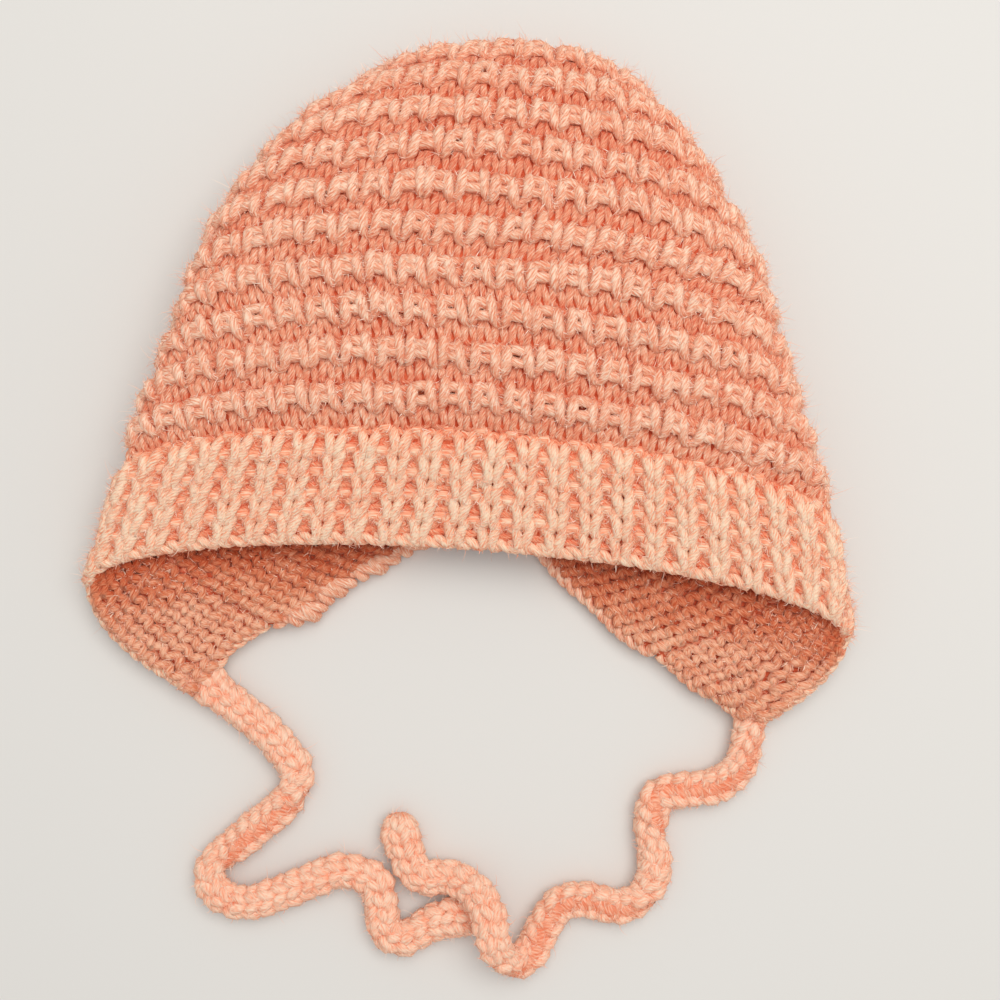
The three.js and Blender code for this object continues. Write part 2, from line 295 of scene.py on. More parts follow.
def knitted_piece(name, shape, finish):
    """A Blender object from a yarn mesh, never lower than the table."""
    verts = shape["verts"].copy()
    verts[:, 2] = np.maximum(verts[:, 2], 0.00005)
    faces = [face for block in shape["faces"] for face in block.tolist()]
    mesh = bpy.data.meshes.new(name)
    mesh.from_pydata(verts.tolist(), [], faces)
    yarn_map = mesh.uv_layers.new(name="yarn")
    yarn_map.data.foreach_set("uv", np.concatenate(shape["maps"]).astype(np.float32).ravel())
    stands = mesh.attributes.new("proud", "FLOAT", "POINT")
    stands.data.foreach_set("value", shape["proud"].astype(np.float32))
    mesh.polygons.foreach_set("use_smooth", np.ones(len(mesh.polygons), dtype=bool))
    mesh.update()
    mesh.materials.append(finish)
    piece = bpy.data.objects.new(name, mesh)
    bpy.context.scene.collection.objects.link(piece)
    return piece


def facing(shape, lifts, chosen, sides=6):
    """The places on a yarn mesh that face the way of the lifts, at the chosen points."""
    lifts = np.repeat(unit(lifts.reshape(-1, 3)), sides, axis=0)
    kept = ((shape["outward"] * lifts).sum(1) > -0.1) & np.repeat(chosen.reshape(-1), sides)
    return {
        "verts": shape["verts"][kept],
        "outward": shape["outward"][kept],
        "proud": shape["proud"][kept],
        "lift": lifts[kept],
    }


def together(roots):
    """Several sets of places as one."""
    return {key: np.concatenate([root[key] for root in roots]) for key in roots[0]}


def at_rim(roots):
    """Those of the places that make the outline, seen from above."""
    kept = np.abs(roots["lift"][:, 2]) < 0.55
    return {key: values[kept] for key, values in roots.items()}


def stray_fibres(shape, count, seed, longest, width=0.14, bends=3, lift=1.0, from_proud=0.0):
    """Fine hairs that stand off the yarn: each is a narrow ribbon that curls to a point."""
    chance = np.random.default_rng(seed)
    able = np.flatnonzero(shape["proud"] >= from_proud)
    picked = able[chance.integers(0, len(able), count)]
    root = shape["verts"][picked]
    out = shape["outward"][picked]
    lean = unit(chance.normal(size=(count, 3)))
    start = unit(lift * out + 0.9 * lean)
    curl = unit(chance.normal(size=(count, 3)))
    length = (0.25 + 0.75 * chance.random((count, 1)) ** 2) * longest * MM
    parts = np.linspace(0, 1, bends + 1)[None, :, None]
    line = root[:, None] + length[:, None] * (
        start[:, None] * (parts - 0.25 * parts**2) + curl[:, None] * 0.55 * parts**2
    )
    flat = unit(np.cross(np.gradient(line, axis=1), lean[:, None]))
    half = (1 - 0.92 * parts**1.5) * width / 2 * MM
    verts = np.stack([line - flat * half, line + flat * half], axis=2)
    index = np.arange(count * (bends + 1) * 2).reshape(count, bends + 1, 2)
    quads = np.stack(
        [index[:, :-1, 0], index[:, :-1, 1], index[:, 1:, 1], index[:, 1:, 0]], axis=-1
    ).reshape(-1, 4)
    stands = np.clip(0.55 + 0.35 * chance.normal(size=count), 0, 1)
    return {
        "verts": verts.reshape(-1, 3),
        "outward": np.repeat(out, 2 * (bends + 1), axis=0),
        "faces": [quads],
        "maps": [np.zeros((len(quads) * 4, 2))],
        "proud": np.repeat(stands, 2 * (bends + 1)),
    }


def along_route(places, run, values):
    """Points or directions along a route, at other places on its run."""
    return np.stack([np.interp(places, run, values[:, k]) for k in range(3)], axis=1)


def smooth_line(points, step):
    """A smooth curve through a route's points, in even steps, in metres in the part's frame."""
    knots = np.array(points, dtype=float)
    knots[:, 1] -= FOOTPRINT_CENTRE_Y
    ends = np.vstack([2 * knots[0] - knots[1], knots, 2 * knots[-1] - knots[-2]])
    gaps = np.sqrt(np.linalg.norm(np.diff(ends, axis=0), axis=1))
    times = np.concatenate([[0], np.cumsum(gaps)])
    dense = []
    for i in range(1, len(ends) - 2):
        t0, t1, t2, t3 = times[i - 1 : i + 3]
        t = np.linspace(t1, t2, 24, endpoint=False)[:, None]
        a1 = (t1 - t) / (t1 - t0) * ends[i - 1] + (t - t0) / (t1 - t0) * ends[i]
        a2 = (t2 - t) / (t2 - t1) * ends[i] + (t - t1) / (t2 - t1) * ends[i + 1]
        a3 = (t3 - t) / (t3 - t2) * ends[i + 1] + (t - t2) / (t3 - t2) * ends[i + 2]
        b1 = (t2 - t) / (t2 - t0) * a1 + (t - t0) / (t2 - t0) * a2
        b2 = (t3 - t) / (t3 - t1) * a2 + (t - t1) / (t3 - t1) * a3
        dense.append((t2 - t) / (t2 - t1) * b1 + (t - t1) / (t2 - t1) * b2)
    dense = np.vstack([*dense, knots[-1:]])
    run = np.concatenate([[0], np.cumsum(np.linalg.norm(np.diff(dense, axis=0), axis=1))])
    places = np.linspace(0, run[-1], int(round(run[-1] / step)) + 1)
    return along_route(places, run, dense) * MM, run[-1]


def tie_growth(place, length):
    """How much wider and higher a tie is than its plain run, at its tip and at its root."""
    tip = np.clip((length - TIP_INSET - place) / TIP_ROUNDING, 0, 1)
    from_swell = (length - TIP_SWELL["inset"] - place) / TIP_SWELL["reach"]
    swollen = 1 + TIP_SWELL["share"] * np.exp(-(from_swell**2))
    rounded = (np.sqrt(1 - (1 - tip) ** 2) * 0.85 + 0.15) * swollen
    near_root = np.clip(1 - place / ROOT_LENGTH, 0, 1)
    wider = 1 + (ROOT_WIDTH / (2 * TIE_HALF_WIDTH) - 1) * near_root**1.6
    return rounded * wider, rounded * (1 - ROOT_FLATTENING * near_root**1.5)


def knitted_cord(route, groove_turns, seed):
    """One yarn worked round and round a cord: three stitch columns and one sunk float a turn."""
    first = np.array(route[0])
    away = unit(first - np.array(route[1])) * ROOT_OVERLAP
    line, length = smooth_line([tuple(first + away), *route], 0.5)
    along = unit(np.gradient(line, axis=0))
    up = unit(np.array([0.0, 0.0, 1.0]) - along * along[:, 2:3])
    beside = np.cross(along, up)
    run = np.linspace(0, length, len(line))
    rows = int(round((length - TIP_INSET) / TIE_ROW_PITCH))
    count = rows * TIE_COLUMNS * TIE_POINTS_PER_COLUMN
    turn = np.arange(count) / (TIE_COLUMNS * TIE_POINTS_PER_COLUMN)
    column = turn * TIE_COLUMNS
    part = column % 1
    stitch = np.floor(column).astype(int)
    is_float = stitch % TIE_COLUMNS == TIE_COLUMNS - 1
    uneven = np.random.default_rng(seed).normal(size=(3, rows * TIE_COLUMNS + 2))
    swing = blended(uneven, stitch, part)

    pinch = TIE_LOOP["pinch"] * np.sin(4 * np.pi * part) * ~is_float
    reach = 0.5 * (1 - np.cos(2 * np.pi * part)) * np.where(is_float, TIE_FLOAT["reach"], 1.0)
    sunk = -TIE_FLOAT["sunk"] * np.sin(np.pi * part)
    depth = np.where(is_float, sunk, -np.cos(4 * np.pi * part))
    place = turn * TIE_ROW_PITCH + reach * TIE_LOOP["reach"] + TIE_UNEVEN["along"] * swing[0]
    place = np.clip(place, 0.4, length - LAST_STITCH_INSET)
    groove = np.interp(place, *np.array(groove_turns, dtype=float).T)
    turned = column + pinch + TIE_UNEVEN["round"] * swing[1] - (TIE_COLUMNS - 0.5)
    angle = 2 * np.pi * turned / TIE_COLUMNS + np.radians(groove)
    inset = TIE_YARN_RADIUS + TIE_LOOP["depth"] * (1 - depth) - TIE_UNEVEN["off"] * swing[2]
    wider, higher = tie_growth(place, length)
    wide = (TIE_HALF_WIDTH - inset) * wider * np.cos(angle)
    high = (TIE_HALF_HEIGHT - inset) * higher * np.sin(angle)
    centre, side, above = (along_route(place, run, values) for values in (line, beside, up))
    yarn = centre + MM * (side * wide[:, None] + above * high[:, None])
    # Painted shade: the sunk float and the bottoms of the loops take the deeper colour.
    proud = np.clip(0.5 + 0.4 * depth, 0, 1)
    loops = yarn_mesh(yarn[None], np.full((1, count), TIE_YARN_RADIUS * MM), proud[None])

    # The core, seen through the gaps, takes the deep colour as painted shade.
    inner = line[4:-3:6]
    core = yarn_mesh(inner[None], np.full((1, len(inner)), MM), 0.12, TIE_CORE_SIDES)
    spread = np.array([TIE_CORE_HALF_WIDTH, TIE_CORE_HALF_WIDTH, TIE_CORE_HALF_HEIGHT]) * MM
    core["verts"] = np.repeat(inner, TIE_CORE_SIDES, axis=0) + core["outward"] * spread
    return joined([loops, core]), line, length


tie_yarn = yarn_finish(
    "tie_yarn", linear(255, 216, 190), linear(253, 182, 150), linear(238, 132, 96)
)


def hair_finish(name, pale, warm):
    """Single loose fibres, each a little paler or warmer than the next."""
    material = new_finish(name, 0.6, 0.3)
    hair = material.node_tree.nodes.new("ShaderNodeAttribute")
    hair.attribute_name = "proud"
    tinted(material, hair.outputs["Fac"], (0.0, warm), (1.0, pale))
    return material


loose_hair = hair_finish("loose_hair", linear(255, 232, 214), linear(242, 164, 130))
# distance along the tie, and which way its sunk float faces there, in degrees round the cord
LEFT_GROOVE = [(0, 250), (46, 250), (60, 120), (75, 100), (92, 220), (190, 260)]
RIGHT_GROOVE = [
    (0, 200), (30, 120), (52, 60), (75, 250), (90, 110), (125, 100), (150, 240), (190, 270),
]
for name, route, groove_turns, seed in [
    ("left_tie", LEFT_TIE_ROUTE, LEFT_GROOVE, 11),
    ("right_tie", RIGHT_TIE_ROUTE, RIGHT_GROOVE, 12),
]:
    cord, line, length = knitted_cord(route, groove_turns, seed)
    from_above = cord["outward"][:, 2] > -0.3
    roots = {key: cord[key][from_above] for key in ("verts", "outward", "proud")}
    nap = stray_fibres(
        roots, TIE_NAP, seed + 40, longest=2.2, width=0.2, bends=2, lift=0.5, from_proud=0.3
    )
    hairs = stray_fibres(roots, TIE_HAIRS, seed + 20, longest=5)
    tie = knitted_piece(name + "_cord", cord, tie_yarn)
    fuzz = knitted_piece(name + "_fuzz", joined([nap, hairs]), loose_hair)
    for piece in (tie, fuzz):
        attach(piece, "root")
        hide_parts(name)

# The face band is one-by-one rib in the same yarn, worked back and forth from the cast-on edge
# round the face, and knitted on into the crown. Its knit columns stand proud and its purl columns
# sink between them.
FOLD_FULLNESS = 0.55
CROWN_CENTRE = 210
NECK_CLOSE = 97
BAND_DEPTH = 33
RING_POINTS = 481
FAN_START = 60
RIB_PAIRS = 36
RIB_POINTS = 13
BAND_ROWS = 5
BAND_ROW_START = -0.6
BAND_ROW_PITCH = 6.25
BAND_LOOP_REACH = 10.2
BAND_YARN_RADIUS = 1.66
KNIT_SHARE = 0.66
SUNK_ROWS = (0.62, 1.62, 2.62, 3.62, 4.55, 5.12)
SUNK_RADIUS = 1.6
INNER_ROW = {"start": 2.6, "pitch": 4.1, "wave": 1.35, "height": -1.5, "radius": 1.55}
SEEN_ABOVE_DEG = 118
SEEN_INSIDE_DEG = 104
TWIST_POINTS = 10
SHEET_COLUMNS = 144
GROUND_HEIGHT = -0.3
BAND_NAP = 15000
BAND_HAIRS = 3200
BAND_RIM_HAIRS = 1500
INNER_NAP = 6500

# The knitting lies in rings. A wale distance is measured along it from the face edge, in mm. An
# angle goes round the ring there: 0 on top, below zero on the left, 180 on the table.
RINGS = np.array([
    # wale, top y, top z, fold y, fold x, low y, low z, middle x, skew
    [0, 20, 16, 1, 110.8, -42, 4.0, 0.3, 0],
    [15, 35, 21, 16, 106.6, -30, 3.4, 0.9, 0],
    [31, 50, 25.5, 31, 102, -19, 3.4, 1, 0],
    [55, 74, 29, 55, 93.5, -1, 3.4, -0.5, 0],
    [79, 97.5, 30.5, 78.5, 85, 19, 3.4, -1.3, 0],
    [97, 115, 30, 96, 79, 33, 3.4, -1.6, 0],
    [115, 132, 27.5, 113, 71, 46, 3.4, -2, 0.5],
    [133, 148.5, 23, 128.5, 60, 58, 3.4, -2, 1.5],
    [147, 160, 17.5, 138.5, 48.5, 67, 3.4, -0.8, 2.5],
    [157, 165, 12, 143, 39, 75, 3.4, 0, 2.6],
    [167, 161, 6, 140, 32, 83, 3.4, 0, 1.8],
    [182, 148, 3.4, 131, 22, 94, 3.4, 0, 0.8],
    [200, 129, 3.4, 121.5, 9, 108, 3.4, 0, 0],
    [210, 118.5, 3.4, 118.5, 0, 118.5, 3.4, 0, 0],
])
NECK_EDGE = np.array([
    # wale, left, right
    [0, 132, 120.2], [15, 137.7, 139], [31, 143.6, 145.4], [43, 150.3, 151.6], [55, 154.5, 155.8],
    [67, 161.7, 161.4], [79, 169.7, 166.4], [91, 176, 174.5], [97, 180, 180],
])
FLAP_TIPS = [
    # middle of the tip, how it is drawn out, how far round
    ((91.0, -21.0), (-4.5, -5.2), 17.0),
    ((-79.0, -26.0), (3.4, -2.8), 14.0),
]


def table_curve(table, column):
    """A smooth curve through one column of a table, that never overshoots its rows."""
    inputs = table[:, 0]
    outputs = table[:, column]
    chords = np.diff(outputs) / np.diff(inputs)
    before = np.concatenate([chords[:1], chords])
    after = np.concatenate([chords, chords[-1:]])
    turns = before * after <= 0
    slopes = np.where(turns, 0, 2 * before * after / np.where(turns, 1, before + after))

    def at(wale):
        """The curve's value at a wale distance."""
        found = np.clip(np.searchsorted(inputs, wale, side="right") - 1, 0, len(inputs) - 2)
        width = inputs[found + 1] - inputs[found]
        t = np.clip((wale - inputs[found]) / width, 0, 1)
        rise = t * t * (3 - 2 * t)
        lead = t * (1 - t) ** 2 * slopes[found]
        tail = t * t * (t - 1) * slopes[found + 1]
        return outputs[found] * (1 - rise) + outputs[found + 1] * rise + width * (lead + tail)

    return at


top_y, top_z, fold_y, fold_x, low_y, low_z, middle_x, skew = (
    table_curve(RINGS, column) for column in range(1, 9)
)
neck_left, neck_right = (table_curve(NECK_EDGE, column) for column in (1, 2))


def fabric_middle(wale, angle):
    """The middle of the knitting, by distance from the face edge and angle round its ring."""
    across = np.sin(np.radians(angle))
    over = np.cos(np.radians(angle))
    reach = np.where(over > 0, top_y(wale) - fold_y(wale), fold_y(wale) - low_y(wale))
    half = (top_z(wale) - low_z(wale)) / 2
    lift = np.sign(over) * np.abs(over) ** FOLD_FULLNESS
    return np.stack(
        [
            middle_x(wale) + fold_x(wale) * across,
            fold_y(wale) + reach * over + skew(wale) * across,
            low_z(wale) + half * (1 + lift),
        ],
        axis=-1,
    )


def on_fabric(wale, angle, offset):
    """A place off the middle of the knitting, in metres in the part's frame."""
    wale, angle, offset = np.broadcast_arrays(wale, angle, offset)
    wale = np.asarray(wale, dtype=float)
    around = fabric_middle(wale, angle + 0.5) - fabric_middle(wale, angle - 0.5)
    up = fabric_middle(np.minimum(wale + 0.5, CROWN_CENTRE), angle) - fabric_middle(
        np.maximum(wale - 0.5, 0), angle
    )
    out = np.cross(around, up)
    flat = np.linalg.norm(out, axis=-1, keepdims=True) < 1e-6
    out = np.where(flat, [0.0, 0.0, -1.0], unit(out))
    place = fabric_middle(wale, angle) + out * np.asarray(offset)[..., None]
    for tip, drawn, round_about in FLAP_TIPS:
        away = np.hypot(place[..., 0] - tip[0], place[..., 1] - tip[1]) / round_about
        pull = np.clip(1 - away**2, 0, 1) ** 2
        place[..., 0] += pull * drawn[0]
        place[..., 1] += pull * drawn[1]
    place[..., 1] -= FOOTPRINT_CENTRE_Y
    return place * MM


def even_angles(wale):
    """Angles evenly spread along a ring, from its left neck edge to its right one, and its length."""
    left = 180.0 if wale >= NECK_CLOSE else float(neck_left(wale))
    right = 180.0 if wale >= NECK_CLOSE else float(neck_right(wale))
    angles = np.linspace(-left, right, RING_POINTS)
    places = fabric_middle(np.full(RING_POINTS, float(wale)), angles)
    run = np.concatenate([[0], np.cumsum(np.linalg.norm(np.diff(places, axis=0), axis=1))])
    return np.interp(np.linspace(0, 1, RING_POINTS) * run[-1], run, angles), run[-1]


BAND_ANGLES = even_angles(BAND_DEPTH / 2)[0]


def band_angle(wale, share):
    """The angle of a rib at its share of the band's length, on the ring at a wale distance."""
    wale = np.clip(wale, 0, BAND_DEPTH)
    angle = np.interp(share, np.linspace(0, 1, RING_POINTS), BAND_ANGLES)
    edge = np.where(angle < 0, neck_left(wale), neck_right(wale))
    middle = np.where(angle < 0, neck_left(BAND_DEPTH / 2), neck_right(BAND_DEPTH / 2))
    beyond = np.maximum(np.abs(angle) - FAN_START, 0)
    stretch = (edge - FAN_START) / (middle - FAN_START)
    return np.sign(angle) * (np.minimum(np.abs(angle), FAN_START) + beyond * stretch)


def rib_row(start, seed):
    """One row of knit and purl loops, as shares along the band, wale distances and heights."""
    part = np.arange(RIB_POINTS * 2 * RIB_PAIRS) / RIB_POINTS
    stitch = np.floor(part).astype(int)
    part = part % 1
    knit = stitch % 2 == 0
    uneven = np.random.default_rng(seed).normal(size=(3, 2 * RIB_PAIRS + 1))
    swing = blended(uneven, stitch, part)
    width = np.where(knit, KNIT_SHARE, 1 - KNIT_SHARE)
    begin = (stitch // 2) + np.where(knit, 0, KNIT_SHARE)
    pinch = np.where(knit, 0.23, 0.2) * np.sin(4 * np.pi * part)
    share = (begin + width * (part + pinch) + 0.03 * swing[0]) / RIB_PAIRS
    outer = np.abs(np.sin(2 * np.pi * part))
    depth = np.where((part > 0.25) & (part < 0.75), -np.cos(4 * np.pi * part), outer)
    height = np.where(knit, 0.4 + 1.1 * depth, -0.9 * depth) + 0.18 * swing[1]
    reach = np.where(knit, BAND_LOOP_REACH, BAND_LOOP_REACH - 1.2)
    wale = start + reach / 2 * (1 - np.cos(2 * np.pi * part)) + 0.4 * swing[2]
    tucked = np.where(knit, 1.3, 0.3) * np.clip((wale - BAND_DEPTH + 2.5) / 3, 0, 1)
    return share, wale, height - tucked


band_yarn = yarn_finish(
    "band_yarn", linear(255, 223, 194), linear(253, 172, 136), linear(234, 108, 72), bump=0.4
)
# Shaded copies of the yarn and its loose fibres, darker for the inside of the knitting: painted
# shade.
shaded_inner_yarn = yarn_finish(
    "shaded_inner_yarn", linear(244, 188, 156), linear(220, 131, 94), linear(190, 78, 40), bump=0.2
)
shaded_inner_hair = hair_finish("shaded_inner_hair", linear(255, 220, 196), linear(222, 122, 86))


def painted_shadow_inside(line):
    """How pale the inside of the knitting is: painted shadow deep under the face edge, pale out on
    the flaps.
    """
    half_width, reach, fading = 110.8, 19.0, 20.0
    across = np.clip(np.abs(line[:, 0] / MM) / half_width, 0, 1)
    face_edge = reach * np.sqrt(1 - across**2) - FOOTPRINT_CENTRE_Y
    return 0.9 * np.clip((face_edge - line[:, 1] / MM) / fading, 0, 1)


def inner_row(middle, repeats, angle_at, chance):
    """A wavy purl row on the inside of the knitting, and the places on it that face inwards."""
    points = 12 * repeats + 1
    share = np.linspace(0.004, 0.996, points)
    beat = share * repeats * 2
    jolt = chance.normal(size=(2, points // 3 + 2))
    jolt = [np.interp(np.arange(points), np.arange(0, 3 * len(row), 3), row) for row in jolt]
    wale = middle + INNER_ROW["wave"] * np.sin(2 * np.pi * beat) + 0.3 * jolt[0]
    height = INNER_ROW["height"] - 0.35 * np.cos(4 * np.pi * beat) + 0.25 * jolt[1]
    angle = angle_at(wale, share)
    line = on_fabric(wale, angle, height)
    # The painted shadow under the face edge sets this row's colour.
    tone = np.clip(painted_shadow_inside(line) + 0.08 * jolt[1], 0, 1)
    strand = single_strand(line, INNER_ROW["radius"], tone)
    lifts = on_fabric(wale, angle, height - 1) - line
    return strand, facing(strand, lifts, np.abs(angle) > SEEN_INSIDE_DEG, LOW_SIDES)


band_parts = []
band_roots = []
for row in range(BAND_ROWS):
    share, wale, height = rib_row(BAND_ROW_START + row * BAND_ROW_PITCH, 40 + row)
    wale = np.clip(wale, 0.3, BAND_DEPTH + 1.5)
    angle = band_angle(wale, share)
    under = np.clip((np.abs(angle) - 96) / 10, 0, 1)
    height = height + under * (np.maximum(height, 0.3) - height)
    line = on_fabric(wale, angle, height)
    # Painted shade: purl loops and low yarn take the deeper colour, raised knit loops the paler.
    proud = np.clip(0.42 + 0.38 * height, 0, 1)
    loops = yarn_mesh(line[None], BAND_YARN_RADIUS * MM * (1 - 0.2 * under[None]), proud[None])
    band_parts.append(loops)
    lifts = on_fabric(wale, angle, height + 1) - line
    band_roots.append(facing(loops, lifts, np.abs(angle) < SEEN_ABOVE_DEG))
share = np.linspace(0.003, 0.997, 6 * RIB_PAIRS + 1)
for row in SUNK_ROWS:
    wale = row * BAND_ROW_PITCH + 0.5 * np.sin(2 * np.pi * share * RIB_PAIRS)
    angle = band_angle(wale, share)
    line = on_fabric(wale, angle, np.where(np.abs(angle) > 100, 0.4, -0.2))
    # Painted shade: the sunk rows take a deep colour.
    band_parts.append(single_strand(line, SUNK_RADIUS, 0.3))
band_inner_rows = []
for start in np.arange(INNER_ROW["start"], BAND_DEPTH, INNER_ROW["pitch"]):
    chance = np.random.default_rng(int(10 * start))
    band_inner_rows.append(inner_row(start, RIB_PAIRS, band_angle, chance))


def twisted_edge(path, wrap, pitch, radius, proud=0.9):
    """Two strands that wind round each other along an edge."""
    along = unit(np.gradient(path, axis=0))
    above = unit(np.array([0.0, 0.0, 1.0]) - along * along[:, 2:3])
    beside = np.cross(along, above)
    run = np.concatenate([[0], np.cumsum(np.linalg.norm(np.diff(path, axis=0), axis=1))]) / MM
    count = int(run[-1] / pitch * TWIST_POINTS)
    places = np.linspace(0, run[-1], count)
    centre, high, wide = (along_route(places, run, values) for values in (path, above, beside))
    strands = []
    for start in (0.0, np.pi):
        turn = (2 * np.pi * places / pitch + start)[:, None]
        strands.append(centre + wrap * MM * (np.cos(turn) * high + np.sin(turn) * wide))
    return yarn_mesh(np.stack(strands), np.full((2, count), radius * MM), proud)


def drawn_in(path, reach=10.0):
    """The ends of an edge gathered towards the roots of the ties."""
    path = path.copy()
    for route in (LEFT_TIE_ROUTE, RIGHT_TIE_ROUTE):
        root = np.array(route[1]) * MM - np.array([0, FOOTPRINT_CENTRE_Y, 1.0]) * MM
        for end in (path[0], path[-1]):
            if np.linalg.norm(end - root) > reach * MM:
                continue
            pull = np.clip(1 - np.linalg.norm(path - end, axis=1) / (reach * MM), 0, 1)[:, None]
            path += (root - end) * 0.7 * pull**1.5
    return path


edge_shares = np.linspace(0.002, 0.998, 500)
cast_on = drawn_in(on_fabric(0.8, band_angle(0.0, edge_shares), 0.3))
band_parts.append(twisted_edge(cast_on, wrap=1.0, pitch=8.6, radius=1.3))
side_wales = np.linspace(1, BAND_DEPTH, 40)
for side in (-neck_left(side_wales) + 0.4, neck_right(side_wales) - 0.4):
    side_edge = drawn_in(on_fabric(side_wales, side, 0.0))
    band_parts.append(twisted_edge(side_edge, wrap=0.8, pitch=8.0, radius=1.15, proud=0.7))


def knitted_sheet(name, wales, angle_at, finish, thickness, closed=False):
    """The ground of the knitting: a grid bent along the rings and given its thickness."""
    rows = len(wales) - 1
    ground = bmesh.new()
    bmesh.ops.create_grid(ground, x_segments=SHEET_COLUMNS, y_segments=rows, size=0.5)
    ground.verts.ensure_lookup_table()
    flat = np.array([vert.co for vert in ground.verts])
    share = np.clip(flat[:, 0] + 0.5, 0, 1)
    row = np.clip(np.rint((flat[:, 1] + 0.5) * rows).astype(int), 0, rows)
    wale = np.array(wales)[row]
    places = on_fabric(wale, angle_at(wale, share), GROUND_HEIGHT)
    for vert, place in zip(ground.verts, places):
        vert.co = place
    if closed:
        bmesh.ops.remove_doubles(ground, verts=ground.verts, dist=0.00002)
    bmesh.ops.recalc_face_normals(ground, faces=ground.faces)
    mesh = bpy.data.meshes.new(name)
    ground.to_mesh(mesh)
    ground.free()
    mesh.polygons.foreach_set("use_smooth", np.ones(len(mesh.polygons), dtype=bool))
    mesh.materials.append(finish)
    piece = bpy.data.objects.new(name, mesh)
    bpy.context.scene.collection.objects.link(piece)
    wall = piece.modifiers.new("wall", "SOLIDIFY")
    wall.thickness = thickness * MM
    wall.offset = 0
    wall.use_even_offset = False
    return piece


def ground_finish(name, colour, deep):
    """The sunk yarn behind the stitches, seen only through their gaps, coloured deep as painted shade
    in them.
    """
    material = new_finish(name, 0.95, 0.1)
    place = material.node_tree.nodes.new("ShaderNodeTexCoord")
    grain = noise(material, place.outputs["Object"], 420, 4)
    tinted(material, grain, (0.35, deep), (0.65, colour))
    raised(material, grain, 0.8, 0.001)
    return material


shaded_ground_yarn = ground_finish("shaded_sunk_yarn", linear(218, 110, 76), linear(184, 74, 46))
band_roots = together(band_roots)
band_nap = stray_fibres(
    band_roots, BAND_NAP, 63, longest=2.5, width=0.25, bends=2, lift=0.5, from_proud=0.4
)
band_hairs = stray_fibres(band_roots, BAND_HAIRS, 61, longest=5)
band_rim_hairs = stray_fibres(at_rim(band_roots), BAND_RIM_HAIRS, 67, longest=6)
inner_strands, inner_roots = zip(*band_inner_rows)
inner_nap = stray_fibres(
    together(inner_roots), INNER_NAP, 65, longest=2.4, width=0.28, bends=2, lift=0.4
)
band = knitted_piece("face_band_ribbing", joined(band_parts), band_yarn)
band_fuzz = knitted_piece(
    "face_band_fuzz", joined([band_nap, band_hairs, band_rim_hairs]), loose_hair
)
band_ground = knitted_sheet(
    "face_band_ground", np.linspace(1.5, BAND_DEPTH + 0.5, 12), band_angle, shaded_ground_yarn, 1.6
)
band_inner = knitted_piece("face_band_inner_rows", joined(inner_strands), shaded_inner_yarn)
band_inner_fuzz = knitted_piece("face_band_inner_fuzz", inner_nap, shaded_inner_hair)
for piece in (band, band_fuzz, band_inner, band_inner_fuzz, band_ground):
    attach(piece, "root")
    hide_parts("face_band")

# The crown is knitted on from the band and gathered at its centre. It is ridged all over: every
# ridge is a row of twin slipped legs over two rows of purl bars, and the pairs of one ridge lie
# between those of the next.
RIDGE_START = 34.5
RIDGE_PITCH = 12
PAIR_WIDTH = 9.0
LEG_RADIUS = 1.65
BAR_RADIUS = 1.65
LEG_HALF = np.array([
    # across, part of the ridge, height
    [0.0, 0.33, 1.1], [0.85, 0.36, 1.4], [1.45, 0.44, 1.85], [1.8, 0.55, 2.2],
    [2.0, 0.68, 2.4], [2.15, 0.8, 2.35], [2.25, 0.93, 1.65], [2.3, 1.04, 0.4],
])
LEGS = np.vstack([LEG_HALF[:0:-1] * [-1, 1, 1], LEG_HALF])
PURL_BARS = (
    # part of the ridge, height
    (0.62, 1.45), (0.83, 1.3),
)
VALLEY_ROW = {"foot": -0.12, "reach": 8.0, "height": 0.15, "depth": 0.5, "pinch": 0.25}
VALLEY_RADIUS = 1.45
INSIDE_SEEN_TO = 84
INNER_PARTS = (0.17, 0.5, 0.83)
CURLS = (
    # part of the ridge, size, lean
    (0.36, 0.7, -0.9), (0.55, 1.0, 0.8), (0.74, 0.92, -0.7), (0.93, 0.75, 0.9),
)
CURL_RADIUS = 1.6
CROWN_NAP = 36000
CROWN_HAIRS = 6000
CROWN_RIM_HAIRS = 4500
ring_wales = np.arange(BAND_DEPTH, CROWN_CENTRE + 1.0)
ring_tables = [even_angles(wale) for wale in ring_wales]
RING_ANGLES = np.array([table[0] for table in ring_tables])
RING_LENGTHS = np.array([table[1] for table in ring_tables])


def ring_angle(wale, share):
    """The angle at a share of the way round the crown's ring at a wale distance."""
    row = np.clip(wale - BAND_DEPTH, 0, len(ring_wales) - 1.001)
    column = np.clip(share, 0, 1) * (RING_POINTS - 1.001)
    low_row = np.floor(row).astype(int)
    low_column = np.floor(column).astype(int)
    along = row - low_row
    across = column - low_column
    near, far = (
        RING_ANGLES[ring, low_column] * (1 - across) + RING_ANGLES[ring, low_column + 1] * across
        for ring in (low_row, low_row + 1)
    )
    return near * (1 - along) + far * along


def ring_length(wale):
    """How long the crown's ring is at a wale distance, in mm."""
    return np.interp(wale, ring_wales, RING_LENGTHS)


def ridge_shift(share, wander):
    """How far a ridge strays from its even course, at a share of the way round."""
    slow = 0.45 * np.sin(2 * np.pi * 3 * share + wander[0])
    return slow + 0.35 * np.sin(2 * np.pi * 7 * share + wander[1])


def painted_rim_highlight(lifts):
    """How near the outline the knitting is, seen from above: a painted highlight makes it palest
    there.
    """
    return 0.34 * np.clip(1 - np.abs(unit(lifts)[..., 2]) / 0.65, 0, 1)


